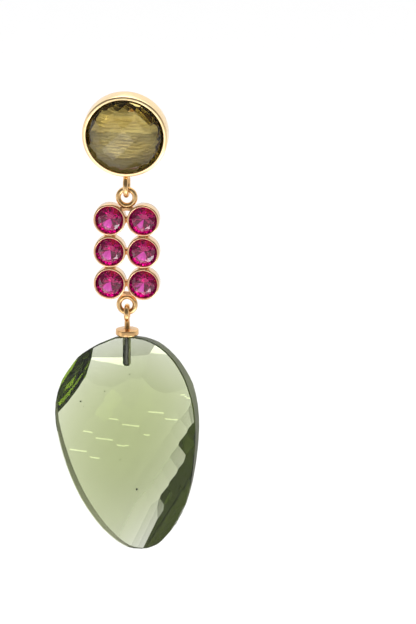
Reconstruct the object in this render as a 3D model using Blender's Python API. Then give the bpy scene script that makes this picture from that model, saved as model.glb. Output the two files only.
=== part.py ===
"""A drop earring: a round stud on a post, a panel of six round stones and a large faceted drop.

The origin is on the post, at the back of the stud's cup, where the cup meets the ear lobe.
+Z is up and the earring faces -Y. Lengths are in metres, written as millimetres times MM.
"""

import math

import bmesh
import bpy
from mathutils import Matrix, Vector

MM = 0.001

# Stud: a closed cup tipped forward by the pull of the drop, with a post soldered to its back
STUD_DROOP = math.radians(8.0)
CUP_RADIUS = 5.15 * MM
CUP_WALL = 0.30 * MM
CUP_DEPTH = 2.10 * MM
CUP_FLOOR = 0.45 * MM
CUP_EDGE = 0.25 * MM
LIP_OVERHANG = 0.17 * MM
LIP_ROLL = 0.28 * MM
POST_RADIUS = 0.40 * MM
POST_LENGTH = 11.2 * MM
POST_FILLET = 0.18 * MM
POST_NOTCH_FROM_TIP = 2.0 * MM
POST_NOTCH_DEPTH = 0.07 * MM

# Stones sit this far clear of the metal round them, and links this far clear of each other
STONE_GAP = 0.10 * MM
LINK_GAP = 0.10 * MM

# Stud stone: a low dome of square facets set cornerwise, flat-bottomed in its closed cup
DOME_RISE = 1.30 * MM
DOME_FACET = 1.90 * MM
STUD_GIRDLE = 0.14 * MM
STUD_GIRDLE_BELOW_LIP = 0.48 * MM
STUD_EDGE_SLOPE = math.radians(42.0)
STUD_EDGE_WIDTH = 0.45 * MM

# Link wire, shared by the four rings
WIRE_RADIUS = 0.32 * MM
STUD_RING_RADIUS = 1.22 * MM
STUD_RING_BITE = 0.12 * MM
STUD_RING_OPENING = math.radians(38.0)
PANEL_TOP_RING_RADIUS = 1.01 * MM
PANEL_LOW_RING_RADIUS = 0.98 * MM
EYE_RADIUS = 0.79 * MM
EYE_OPENING = math.radians(34.0)

# Panel: two columns of three tube settings, open at the back
ROWS = 3
COLUMNS = 2
ROW_PITCH = 3.96 * MM
COLUMN_PITCH = 4.08 * MM
TUBE_RADIUS = 1.95 * MM
TUBE_WALL = 0.15 * MM
TUBE_DEPTH = 1.50 * MM
TUBE_LIP_OVERHANG = 0.12 * MM
TUBE_LIP_ROLL = 0.15 * MM
LEDGE_WIDTH = 0.18 * MM
LEDGE_BELOW_LIP = 0.58 * MM
LEDGE_SLANT = 0.07 * MM
RING_TO_ROW = 1.40 * MM
SOLDER_DEPTH = 1.00 * MM
SOLDER_BITE = 0.12 * MM
ROW_SOLDER_WIDTH = 1.60 * MM
COLUMN_SOLDER_HEIGHT = 0.80 * MM
RING_BAR_WIDTH = 1.70 * MM
RING_BAR_HEIGHT = 0.42 * MM

# Panel stones: round brilliants
BRILLIANT_GIRDLE = 0.06 * MM
BRILLIANT_GIRDLE_BELOW_LIP = 0.38 * MM
CROWN_SLOPE = math.radians(34.0)
UPPER_HALF_SLOPE = math.radians(40.5)
STAR_SLOPE = math.radians(22.0)
PAVILION_SLOPE = math.radians(40.8)
LOWER_HALF_SLOPE = math.radians(42.3)
TABLE_SHARE = 0.56
BRILLIANT_TURNS = tuple(math.radians(turn) for turn in (4.0, 17.0, 31.0, 11.0, 38.0, 24.0))

# Ear nut: a strip bent into two scrolls
LOBE_SPACE = 1.20 * MM
NUT_STRIP = 0.30 * MM
NUT_WIDTH = 3.40 * MM
NUT_SCROLL_RADIUS = 1.15 * MM
NUT_BORE_GAP = 0.14 * MM
NUT_SPRING_GAP = 0.12 * MM

# Drop peg: stem, round plate and a pin glued into the stone
STEM_LENGTH = 0.94 * MM
PLATE_RADIUS = 1.42 * MM
PLATE_THICKNESS = 0.70 * MM
PLATE_ROUND = 0.12 * MM
PLATE_SEAT_GAP = 0.15 * MM
PIN_RADIUS = 0.385 * MM
PIN_LENGTH = 3.65 * MM
PIN_TIP = 0.30 * MM

# Drop stone: one flat face in front, a thick edge, and a back that swells to THICKNESS and is
# ground into diamonds. The back curves most across a line that leans to the lower right. The
# stone hangs leaning and turned a little, with its weight below its link.
DROP_HEIGHT = 26.0 * MM
DROP_HALF_WIDTH = 8.76 * MM
DROP_THICKNESS = 5.9 * MM
DROP_LEAN = math.radians(6.6)
DROP_TURN = math.radians(-4.0)
PIN_BEHIND_FACE = 0.76 * MM
FACE_BEVEL_WIDTH = 0.12 * MM
FACE_BEVEL_SLOPE = math.radians(40.0)
SWELL_HEADING = math.radians(-24.0)
SWELL_RADIUS_RIGHT = 9.4 * MM
SWELL_RADIUS_LEFT = 14.0 * MM
SWELL_RADIUS_ALONG = 26.0 * MM
SWELL_STEEPEST_ACROSS = math.radians(40.7)
SWELL_STEEPEST_ALONG = math.radians(14.0)
DROP_FACET_WIDTH = 2.10 * MM
DROP_FACET_HEIGHT = 3.30 * MM

# The drop's outline seen from the front: how far down, and how far left and right of the pin,
# as shares of the height and of the half width
DOWN, LEFT, RIGHT = range(3)
DROP_OUTLINE = (
    (0.00, -0.12, 0.20),
    (0.02, -0.26, 0.38),
    (0.05, -0.45, 0.53),
    (0.10, -0.67, 0.68),
    (0.15, -0.80, 0.78),
    (0.20, -0.88, 0.86),
    (0.30, -0.98, 0.96),
    (0.40, -0.99, 1.00),
    (0.50, -0.93, 1.00),
    (0.60, -0.84, 0.98),
    (0.70, -0.72, 0.94),
    (0.80, -0.56, 0.86),
    (0.90, -0.33, 0.71),
    (0.95, -0.16, 0.60),
    (0.98, -0.03, 0.47),
    (1.00, 0.11, 0.32),
)

# Large facets that cut the back's edge: the way each faces in the front view, counted in
# degrees from +X towards +Z, its slope from the face, and a point on it, as shares of the half
# width, the height and the thickness
FACES, SLOPE, ACROSS, LEVEL, BEHIND = range(5)
BACK_EDGE_FACETS = (
    (112.2, 35.0, 0.0, 0.0, 0.241),
    (116.3, 30.6, 0.0, 0.0, 0.297),
    (97.6, 33.7, 0.0, 0.0, 0.237),
    (97.5, 28.1, 0.0, 0.0, 0.297),
    (146.0, 58.0, -0.532, 0.112, 0.322),
    (140.0, 49.0, -0.532, 0.112, 0.331),
    (60.0, 27.0, 0.680, 0.101, 0.407),
)

# Sizes that follow from those above
STUD_STONE_RADIUS = CUP_RADIUS - CUP_WALL - STONE_GAP
TUBE_BORE = TUBE_RADIUS - TUBE_WALL
PANEL_STONE_RADIUS = TUBE_BORE - STONE_GAP
HOLE_RADIUS = PIN_RADIUS + STONE_GAP
WIRE = 2 * WIRE_RADIUS

# How finely round shapes are divided
CUP_SIDES = 40
TUBE_SIDES = 20
RING_STEPS = 20
WIRE_SIDES = 8
PIN_SIDES = 16
TOUCH = 0.001 * MM


def clear_scene():
    for thing in list(bpy.data.objects):
        bpy.data.objects.remove(thing, do_unlink=True)


def make_material(name, colour, metallic, roughness, transmission=0.0):
    material = bpy.data.materials.new(name)
    material.use_nodes = True
    shader = material.node_tree.nodes["Principled BSDF"]
    shader.inputs["Base Color"].default_value = (*colour, 1.0)
    shader.inputs["Metallic"].default_value = metallic
    shader.inputs["Roughness"].default_value = roughness
    shader.inputs["Transmission Weight"].default_value = transmission
    material.diffuse_color = (*colour, 1.0)
    return material


def make_empty(name, location, parent=None, tip=0.0):
    empty = bpy.data.objects.new(name, None)
    bpy.context.collection.objects.link(empty)
    empty.location = location
    empty.rotation_euler = (tip, 0.0, 0.0)
    empty.parent = parent
    empty.empty_display_size = 2 * MM
    return empty


def make_object(name, bm, material=None, parent=None, smooth=False):
    bmesh.ops.recalc_face_normals(bm, faces=bm.faces)
    if bm.calc_volume(signed=True) < 0:
        bmesh.ops.reverse_faces(bm, faces=bm.faces)
    mesh = bpy.data.meshes.new(name)
    bm.to_mesh(mesh)
    bm.free()
    thing = bpy.data.objects.new(name, mesh)
    bpy.context.collection.objects.link(thing)
    if material:
        mesh.materials.append(material)
    thing.parent = parent
    if smooth:
        mesh.shade_smooth()
        mesh.set_sharp_from_angle(angle=math.radians(40))
    return thing


# Turned, swept and block shapes

def turned(profile, sides, closed, place=Matrix.Identity(4)):
    """Turn (radius, height) points about Z. A closed profile makes a tube, an open one a solid."""
    bm = bmesh.new()
    rings = []
    for radius, height in profile:
        if radius < TOUCH:
            rings.append([bm.verts.new((0.0, 0.0, height))])
            continue
        ring = []
        for step in range(sides):
            turn = 2 * math.pi * (step + 0.5) / sides
            ring.append(bm.verts.new((radius * math.cos(turn), radius * math.sin(turn), height)))
        rings.append(ring)
    pairs = list(zip(rings, rings[1:]))
    if closed:
        pairs.append((rings[-1], rings[0]))
    for one, two in pairs:
        for step in range(sides):
            after = (step + 1) % sides
            corners = [one[step % len(one)], one[after % len(one)],
                       two[after % len(two)], two[step % len(two)]]
            bm.faces.new(list(dict.fromkeys(corners)))
    bm.transform(place)
    return bm


def wire_ring(centre, radius, upright_in, start=0.0, sweep=2 * math.pi):
    """A ring of wire in the XZ or YZ plane. Angles run from straight up, towards +X or -Y."""
    bm = bmesh.new()
    whole = sweep > 2 * math.pi - TOUCH
    steps = RING_STEPS if whole else round(RING_STEPS * sweep / (2 * math.pi)) + 1
    across = Vector((1, 0, 0)) if upright_in == "XZ" else Vector((0, -1, 0))
    up = Vector((0, 0, 1))
    side = across.cross(up)
    loops = []
    for step in range(steps if whole else steps + 1):
        turn = start + sweep * step / steps
        outward = up * math.cos(turn) + across * math.sin(turn)
        middle = Vector(centre) + outward * radius
        loop = []
        for k in range(WIRE_SIDES):
            bend = 2 * math.pi * (k + 0.5) / WIRE_SIDES
            offset = outward * math.cos(bend) + side * math.sin(bend)
            loop.append(bm.verts.new(middle + offset * WIRE_RADIUS))
        loops.append(loop)
    pairs = list(zip(loops, loops[1:]))
    if whole:
        pairs.append((loops[-1], loops[0]))
    else:
        bm.faces.new(loops[0])
        bm.faces.new(loops[-1])
    for one, two in pairs:
        for k in range(WIRE_SIDES):
            after = (k + 1) % WIRE_SIDES
            bm.faces.new((one[k], one[after], two[after], two[k]))
    return bm


def block(centre, size):
    bm = bmesh.new()
    bmesh.ops.create_cube(bm, size=1.0)
    bmesh.ops.scale(bm, vec=size, verts=bm.verts)
    bmesh.ops.translate(bm, vec=centre, verts=bm.verts)
    return bm


def combine(thing, bm, operation):
    """Join a shape to an object, or cut it out of it."""
    tool = make_object(thing.name + "_tool", bm, parent=thing.parent)
    modifier = thing.modifiers.new("combine", "BOOLEAN")
    modifier.operation = operation
    modifier.object = tool
    bpy.context.view_layer.update()
    evaluated = thing.evaluated_get(bpy.context.evaluated_depsgraph_get())
    mesh = bpy.data.meshes.new_from_object(evaluated)
    thing.modifiers.clear()
    old = thing.data
    thing.data = mesh
    bpy.data.meshes.remove(old)
    bpy.data.objects.remove(tool, do_unlink=True)


def clean(thing, smooth=True):
    """Merge points that a Boolean leaves on top of each other."""
    bm = bmesh.new()
    bm.from_mesh(thing.data)
    bmesh.ops.remove_doubles(bm, verts=bm.verts, dist=TOUCH)
    bmesh.ops.dissolve_degenerate(bm, edges=bm.edges, dist=TOUCH)
    bm.to_mesh(thing.data)
    bm.free()
    if smooth:
        thing.data.shade_smooth()
        thing.data.set_sharp_from_angle(angle=math.radians(40))


# Cut stones: a blank is ground flat, one facet after another

def blank(outline, low, high):
    """A prism on (x, y) corners, from height low to height high."""
    bm = bmesh.new()
    bottom = [bm.verts.new((x, y, low)) for x, y in outline]
    top = [bm.verts.new((x, y, high)) for x, y in outline]
    bm.faces.new(bottom)
    bm.faces.new(top)
    for step in range(len(outline)):
        after = (step + 1) % len(outline)
        bm.faces.new((bottom[step], bottom[after], top[after], top[step]))
    return bm


def grind(bm, point, normal):
    """Remove all that lies beyond a plane and close the cut with one flat facet."""
    everything = bm.verts[:] + bm.edges[:] + bm.faces[:]
    bmesh.ops.bisect_plane(bm, geom=everything, dist=TOUCH, plane_co=point, plane_no=normal,
                           clear_outer=True)
    rim = [edge for edge in bm.edges if edge.is_boundary]
    if rim:
        bmesh.ops.edgeloop_fill(bm, edges=rim)


def round_outline(radius, sides):
    """A regular outline whose corners, not its sides, lie on the given radius."""
    step = 2 * math.pi / sides
    return [(radius * math.cos(k * step), radius * math.sin(k * step)) for k in range(sides)]


def grind_tier(bm, count, first, slope, radius, height, downward=False):
    """One tier of facets, evenly round Z, each through the given radius and height."""
    way = -1.0 if downward else 1.0
    for k in range(count):
        turn = first + 2 * math.pi * k / count
        facing = Vector((math.cos(turn), math.sin(turn), 0.0))
        normal = facing * math.sin(slope) + Vector((0, 0, way * math.cos(slope)))
        grind(bm, facing * radius + Vector((0, 0, height)), normal)


def brilliant(radius, girdle_top):
    """A round brilliant, table up, with its girdle's upper edge at girdle_top."""
    sixteenth = math.pi / 8
    flat = radius * math.cos(sixteenth / 2)
    table_radius = TABLE_SHARE * radius
    table = girdle_top + (radius - table_radius) * math.tan(CROWN_SLOPE)
    girdle_low = girdle_top - BRILLIANT_GIRDLE
    bm = blank(round_outline(radius, 16), girdle_low - 2 * radius, table)
    grind_tier(bm, 8, 0.0, CROWN_SLOPE, radius, girdle_top)
    grind_tier(bm, 8, sixteenth, STAR_SLOPE, table_radius * math.cos(sixteenth), table)
    grind_tier(bm, 16, sixteenth / 2, UPPER_HALF_SLOPE, flat, girdle_top)
    grind_tier(bm, 8, 0.0, PAVILION_SLOPE, radius, girdle_low, downward=True)
    grind_tier(bm, 16, sixteenth / 2, LOWER_HALF_SLOPE, flat, girdle_low, downward=True)
    return bm


def domed_stone(radius, girdle_top, floor, rise):
    """A low dome of square facets over a shallow base."""
    sides = 32
    edge_top = girdle_top + STUD_EDGE_WIDTH * math.tan(STUD_EDGE_SLOPE)
    dome_base = radius - STUD_EDGE_WIDTH
    sphere = (dome_base ** 2 + rise ** 2) / (2 * rise)
    centre = edge_top + rise - sphere
    bm = blank(round_outline(radius, sides), floor, edge_top + rise)
    steps = math.ceil(radius / DOME_FACET) + 1
    for i in range(-steps, steps + 1):
        for j in range(-steps, steps + 1):
            x = (i - j) * DOME_FACET / math.sqrt(2)
            y = (i + j) * DOME_FACET / math.sqrt(2)
            if math.hypot(x, y) > dome_base:
                continue
            normal = Vector((x, y, math.sqrt(sphere ** 2 - x * x - y * y))).normalized()
            grind(bm, Vector((0, 0, centre)) + normal * sphere, normal)
    half_step = math.pi / sides
    flat = radius * math.cos(half_step)
    grind_tier(bm, sides // 2, half_step, STUD_EDGE_SLOPE, flat, girdle_top)
    depth = girdle_top - STUD_GIRDLE - floor
    steep = math.atan2(depth, 0.34 * radius)
    shallow = math.atan2(depth, 0.62 * radius)
    grind_tier(bm, sides // 2, half_step, steep, flat, girdle_top - STUD_GIRDLE, downward=True)
    grind_tier(bm, sides // 4, 0.0, shallow, 0.80 * radius, floor + 0.42 * depth, downward=True)
    return bm


# Stud

def cup_and_post_profile():
    bore = CUP_RADIUS - CUP_WALL
    lip = bore - LIP_OVERHANG
    notch = -(POST_LENGTH - POST_NOTCH_FROM_TIP)
    notch_radius = POST_RADIUS - POST_NOTCH_DEPTH
    return (
        (0.0, -POST_LENGTH),
        (0.62 * POST_RADIUS, -POST_LENGTH),
        (POST_RADIUS, -POST_LENGTH + 0.5 * POST_RADIUS),
        (POST_RADIUS, notch - POST_RADIUS),
        (notch_radius, notch),
        (POST_RADIUS, notch + POST_RADIUS),
        (POST_RADIUS, -POST_FILLET),
        (POST_RADIUS + POST_FILLET, 0.0),
        (CUP_RADIUS - CUP_EDGE, 0.0),
        (CUP_RADIUS, CUP_EDGE),
        (CUP_RADIUS, CUP_DEPTH - 0.93 * LIP_ROLL),
        (CUP_RADIUS - 0.32 * LIP_ROLL, CUP_DEPTH - 0.21 * LIP_ROLL),
        (CUP_RADIUS - LIP_ROLL, CUP_DEPTH),
        (lip, CUP_DEPTH - 0.43 * LIP_ROLL),
        (bore, CUP_DEPTH - 1.07 * LIP_ROLL),
        (bore, CUP_FLOOR + CUP_EDGE),
        (bore - CUP_EDGE, CUP_FLOOR),
        (0.0, CUP_FLOOR),
    )


def stud_ring_centre():
    """In the stud's own frame: below the cup, half way along its wall."""
    reach = CUP_RADIUS + WIRE_RADIUS - STUD_RING_BITE + STUD_RING_RADIUS
    return Vector((0.0, -reach, CUP_DEPTH / 2))


def make_stud(frame, gold, amber):
    setting = make_object("stud_setting", turned(cup_and_post_profile(), CUP_SIDES, closed=False),
                          gold, frame)
    to_frame = frame.matrix_world.inverted()
    centre = frame.matrix_world @ stud_ring_centre()
    ring = wire_ring(centre, STUD_RING_RADIUS, "YZ", start=-STUD_DROOP,
                     sweep=2 * math.pi - STUD_RING_OPENING)
    ring.transform(to_frame)
    combine(setting, ring, "UNION")
    clean(setting)

    girdle_top = CUP_DEPTH - STUD_GIRDLE_BELOW_LIP
    stone = domed_stone(STUD_STONE_RADIUS, girdle_top, CUP_FLOOR + STONE_GAP, DOME_RISE)
    make_object("stud_stone", stone, amber, frame)


def nut_centre_line():
    """Half the nut's strip, seen along X: (away from the post, away from the cup)."""
    scroll = NUT_SCROLL_RADIUS - NUT_STRIP / 2
    inner = POST_RADIUS + NUT_SPRING_GAP + NUT_STRIP / 2
    middle = inner + scroll
    points = [(0.0, NUT_STRIP / 2), (middle, NUT_STRIP / 2)]
    steps = 12
    sweep = math.radians(270)
    for k in range(1, steps + 1):
        turn = sweep * k / steps
        points.append((middle + scroll * math.sin(turn),
                       NUT_STRIP / 2 + scroll * (1 - math.cos(turn))))
    return points


def make_nut(frame, gold):
    half = nut_centre_line()
    line = [(-x, z) for x, z in reversed(half[1:])] + half
    left, right = [], []
    for k, (x, z) in enumerate(line):
        before = Vector(line[max(k - 1, 0)])
        after = Vector(line[min(k + 1, len(line) - 1)])
        along = (after - before).normalized()
        aside = Vector((-along.y, along.x)) * NUT_STRIP / 2
        left.append((x + aside.x, z + aside.y))
        right.append((x - aside.x, z - aside.y))
    outline = left + right[::-1]
    bm = blank(outline, -NUT_WIDTH / 2, NUT_WIDTH / 2)
    # The outline's two directions become the frame's Y and -Z, and its height the frame's X
    bm.transform(Matrix(((0, 0, 1, 0), (1, 0, 0, 0), (0, -1, 0, -LOBE_SPACE), (0, 0, 0, 1))))
    nut = make_object("ear_nut", bm, gold, frame)
    bore = POST_RADIUS + NUT_BORE_GAP
    deep = 2 * NUT_STRIP
    hole = turned(((0, -LOBE_SPACE - deep), (bore, -LOBE_SPACE - deep),
                   (bore, -LOBE_SPACE + deep), (0, -LOBE_SPACE + deep)), PIN_SIDES, closed=False)
    combine(nut, hole, "DIFFERENCE")
    clean(nut)


# Panel

def tube_profile():
    lip = TUBE_BORE - TUBE_LIP_OVERHANG
    ledge = TUBE_BORE - LEDGE_WIDTH
    return (
        (TUBE_RADIUS - 0.33 * TUBE_LIP_ROLL, 0.0),
        (TUBE_RADIUS, 0.53 * TUBE_LIP_ROLL),
        (TUBE_RADIUS, TUBE_DEPTH - 1.33 * TUBE_LIP_ROLL),
        (TUBE_RADIUS - 0.4 * TUBE_LIP_ROLL, TUBE_DEPTH - 0.33 * TUBE_LIP_ROLL),
        (TUBE_RADIUS - TUBE_LIP_ROLL, TUBE_DEPTH),
        (lip, TUBE_DEPTH - 0.8 * TUBE_LIP_ROLL),
        (TUBE_BORE, TUBE_DEPTH - 1.87 * TUBE_LIP_ROLL),
        (TUBE_BORE, TUBE_DEPTH - LEDGE_BELOW_LIP),
        (ledge, TUBE_DEPTH - LEDGE_BELOW_LIP - LEDGE_SLANT),
        (ledge, 0.0),
    )


def panel_places():
    """The centres of the tube settings' backs, from the top row down, in the pivot's frame."""
    first_row = -(2 * PANEL_TOP_RING_RADIUS + WIRE_RADIUS + RING_TO_ROW)
    first_column = -(COLUMNS - 1) * COLUMN_PITCH / 2
    places = []
    for row in range(ROWS):
        for column in range(COLUMNS):
            places.append(Vector((first_column + column * COLUMN_PITCH, TUBE_DEPTH / 2,
                                  first_row - row * ROW_PITCH)))
    return places


def panel_low_ring_centre():
    lowest = panel_places()[-1].z
    return Vector((0.0, 0.0, lowest - RING_TO_ROW - WIRE_RADIUS - PANEL_LOW_RING_RADIUS))


def facing_front(place):
    """Turn a shape's +Z to face -Y and put it in its place."""
    return Matrix.Translation(place) @ Matrix.Rotation(math.pi / 2, 4, "X")


def make_panel(pivot, gold, ruby):
    places = panel_places()
    top_ring = wire_ring((0, 0, -PANEL_TOP_RING_RADIUS), PANEL_TOP_RING_RADIUS, "XZ")
    setting = make_object("panel_setting", top_ring, gold, pivot)

    top_ring_low = -(2 * PANEL_TOP_RING_RADIUS + WIRE_RADIUS)
    bar = (RING_BAR_WIDTH, SOLDER_DEPTH, RING_BAR_HEIGHT)
    combine(setting, block((0, 0, top_ring_low - RING_BAR_HEIGHT / 2 + SOLDER_BITE), bar), "UNION")
    for place in places:
        combine(setting, turned(tube_profile(), TUBE_SIDES, True, facing_front(place)), "UNION")

    row_solder = (ROW_SOLDER_WIDTH, SOLDER_DEPTH,
                  ROW_PITCH - 2 * TUBE_RADIUS + 2 * SOLDER_BITE)
    column_solder = (COLUMN_PITCH - 2 * TUBE_RADIUS + 2 * SOLDER_BITE, SOLDER_DEPTH,
                     COLUMN_SOLDER_HEIGHT)
    for place in places[:-COLUMNS]:
        combine(setting, block((place.x, 0, place.z - ROW_PITCH / 2), row_solder), "UNION")
    for place in places[::COLUMNS]:
        combine(setting, block((place.x + COLUMN_PITCH / 2, 0, place.z), column_solder), "UNION")

    low_ring = panel_low_ring_centre()
    low_ring_top = low_ring.z + PANEL_LOW_RING_RADIUS + WIRE_RADIUS
    combine(setting, block((0, 0, low_ring_top + RING_BAR_HEIGHT / 2 - SOLDER_BITE), bar), "UNION")
    combine(setting, wire_ring(low_ring, PANEL_LOW_RING_RADIUS, "XZ"), "UNION")
    clean(setting)

    for number, place in enumerate(places, start=1):
        stone = brilliant(PANEL_STONE_RADIUS, TUBE_DEPTH - BRILLIANT_GIRDLE_BELOW_LIP)
        turn = Matrix.Rotation(BRILLIANT_TURNS[number - 1], 4, "Z")
        stone.transform(facing_front(place) @ turn)
        make_object(f"panel_stone_{number}", stone, ruby, pivot)


# Drop

def drop_top():
    """The top of the drop stone in the frame of the drop's pivot."""
    eye_centre = WIRE + LINK_GAP - EYE_RADIUS
    plate_top = eye_centre - EYE_RADIUS - WIRE_RADIUS - STEM_LENGTH
    return plate_top - PLATE_THICKNESS - PLATE_SEAT_GAP


def make_peg(pivot, gold):
    top = drop_top()
    plate_low = top + PLATE_SEAT_GAP
    plate_top = plate_low + PLATE_THICKNESS
    profile = (
        (0.0, top - PIN_LENGTH),
        (0.6 * PIN_RADIUS, top - PIN_LENGTH + 0.17 * PIN_TIP),
        (PIN_RADIUS, top - PIN_LENGTH + PIN_TIP),
        (PIN_RADIUS, plate_low),
        (PLATE_RADIUS - PLATE_ROUND, plate_low),
        (PLATE_RADIUS, plate_low + PLATE_ROUND),
        (PLATE_RADIUS, plate_top - PLATE_ROUND),
        (PLATE_RADIUS - PLATE_ROUND, plate_top),
        (WIRE_RADIUS + PLATE_ROUND, plate_top),
        (WIRE_RADIUS, plate_top + PLATE_ROUND),
        (WIRE_RADIUS, plate_top + STEM_LENGTH + WIRE_RADIUS),
        (0.0, plate_top + STEM_LENGTH + WIRE_RADIUS),
    )
    peg = make_object("drop_peg", turned(profile, 2 * PIN_SIDES, closed=False), gold, pivot)
    eye_centre = (0, 0, WIRE + LINK_GAP - EYE_RADIUS)
    combine(peg, wire_ring(eye_centre, EYE_RADIUS, "YZ", start=EYE_OPENING - math.pi,
                           sweep=2 * math.pi - EYE_OPENING), "UNION")
    clean(peg)


def drop_outline():
    """The outline's corners as (x, height above the top), with each corner cut in two."""
    left = [(row[LEFT] * DROP_HALF_WIDTH, -row[DOWN] * DROP_HEIGHT) for row in DROP_OUTLINE]
    right = [(row[RIGHT] * DROP_HALF_WIDTH, -row[DOWN] * DROP_HEIGHT) for row in DROP_OUTLINE]
    corners = [Vector(corner) for corner in left + right[::-1]]
    outline = []
    for corner, following in zip(corners, corners[1:] + corners[:1]):
        outline += [corner.lerp(following, 0.25), corner.lerp(following, 0.75)]
    return outline


def swell(distance, radius, steepest):
    """How far a curve has fallen at a distance, and its slope there; it ends in a straight run."""
    reach = min(abs(distance), math.tan(steepest) * radius)
    fall = reach ** 2 / (2 * radius) + (abs(distance) - reach) * math.tan(steepest)
    return fall, math.copysign(reach / radius, distance)


def grind_back(bm):
    """Diamonds on the swelling back, each flat."""
    heading = Vector((math.cos(SWELL_HEADING), math.sin(SWELL_HEADING)))
    along = heading.orthogonal()
    middle = Vector((0.0, -DROP_HEIGHT / 2))
    columns = math.ceil(2 * DROP_HALF_WIDTH / DROP_FACET_WIDTH) + 1
    rows = math.ceil(2 * DROP_HEIGHT / DROP_FACET_HEIGHT)
    for i in range(-columns, columns + 1):
        for j in range(1, rows):
            if (i + j) % 2 == 0:
                continue
            place = Vector((i * DROP_FACET_WIDTH / 2, -j * DROP_FACET_HEIGHT / 2))
            if abs(place.x) > DROP_HALF_WIDTH or place.y < -DROP_HEIGHT:
                continue
            across = (place - middle).dot(heading)
            radius = SWELL_RADIUS_RIGHT if across > 0 else SWELL_RADIUS_LEFT
            fall, slope = swell(across, radius, SWELL_STEEPEST_ACROSS)
            fall_along, slope_along = swell((place - middle).dot(along), SWELL_RADIUS_ALONG,
                                            SWELL_STEEPEST_ALONG)
            facing = heading * slope + along * slope_along
            point = Vector((place.x, DROP_THICKNESS - fall - fall_along, place.y))
            grind(bm, point, Vector((facing.x, 1.0, facing.y)).normalized())


def sloping(turn, slope, way):
    """The normal of a facet that faces front or back (way -1 or 1) and leans outwards."""
    return Vector((math.cos(turn) * math.sin(slope), way * math.cos(slope),
                   math.sin(turn) * math.sin(slope)))


def grind_bevel(bm, outline):
    """A narrow bevel all round the flat face."""
    for corner, following in zip(outline, outline[1:] + outline[:1]):
        side = following - corner
        turn = math.atan2(side.y, side.x) - math.pi / 2
        inwards = Vector((math.cos(turn), math.sin(turn))) * FACE_BEVEL_WIDTH
        point = (corner + following) / 2 - inwards
        grind(bm, Vector((point.x, 0.0, point.y)), sloping(turn, FACE_BEVEL_SLOPE, -1.0))


def make_drop_stone(pivot, sage):
    outline = drop_outline()
    bm = blank(outline, -DROP_THICKNESS, DROP_THICKNESS)
    bm.transform(Matrix.Rotation(math.pi / 2, 4, "X"))
    grind(bm, Vector((0.0, 0.0, 0.0)), Vector((0.0, -1.0, 0.0)))
    grind_bevel(bm, outline)
    grind_back(bm)
    for row in BACK_EDGE_FACETS:
        point = Vector((row[ACROSS] * DROP_HALF_WIDTH, row[BEHIND] * DROP_THICKNESS,
                        -row[LEVEL] * DROP_HEIGHT))
        grind(bm, point, sloping(math.radians(row[FACES]), math.radians(row[SLOPE]), 1.0))
    bmesh.ops.remove_doubles(bm, verts=bm.verts, dist=5 * TOUCH)
    bm.transform(Matrix.Rotation(DROP_TURN, 4, "Z") @ Matrix.Rotation(-DROP_LEAN, 4, "X")
                 @ Matrix.Translation((0.0, -PIN_BEHIND_FACE, 0.0)))
    highest = max(vert.co.z for vert in bm.verts)
    bm.transform(Matrix.Translation((0.0, 0.0, drop_top() - highest)))
    stone = make_object("drop_stone", bm, sage, pivot)
    end = drop_top() - PIN_LENGTH - STONE_GAP
    start = drop_top() + PLATE_THICKNESS
    hole = turned(((0.0, end), (0.6 * HOLE_RADIUS, end + 0.17 * PIN_TIP),
                   (HOLE_RADIUS, end + PIN_TIP), (HOLE_RADIUS, start), (0.0, start)),
                  PIN_SIDES, closed=False)
    combine(stone, hole, "DIFFERENCE")
    clean(stone, smooth=False)


def main():
    clear_scene()
    gold = make_material("gold", (0.88, 0.62, 0.36), 1.0, 0.18)
    amber = make_material("olive_quartz", (0.42, 0.33, 0.12), 0.0, 0.05, 0.8)
    ruby = make_material("fuchsia_stone", (0.55, 0.02, 0.20), 0.0, 0.05, 0.6)
    sage = make_material("sage_quartz", (0.60, 0.66, 0.48), 0.0, 0.05, 0.8)

    stud_frame = make_empty("stud_frame", (0, 0, 0), tip=math.pi / 2 + STUD_DROOP)
    bpy.context.view_layer.update()
    make_stud(stud_frame, gold, amber)
    make_nut(stud_frame, gold)

    stud_ring = stud_frame.matrix_world @ stud_ring_centre()
    hang = Vector((0, 0, WIRE + LINK_GAP - STUD_RING_RADIUS))
    panel_pivot = make_empty("panel_pivot", stud_ring + hang)
    bpy.context.view_layer.update()
    make_panel(panel_pivot, gold, ruby)

    low_ring_bottom = panel_low_ring_centre() - Vector((0, 0, PANEL_LOW_RING_RADIUS))
    drop_pivot = make_empty("drop_pivot", low_ring_bottom, panel_pivot)
    bpy.context.view_layer.update()
    make_peg(drop_pivot, gold)
    make_drop_stone(drop_pivot, sage)


main()
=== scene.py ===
# %% [markdown]
# # A drop earring, dressed for its portrait
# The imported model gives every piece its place. This lesson adds what a jeweller's bench adds:
# rolled lips, round wire, solder, polish and cut stones that bend light.
# Everything is in metres, and the earring faces -Y with the drop hanging down -Z.

# %% Load the frame
import math

import bpy
from mathutils import Matrix, Vector


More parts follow.
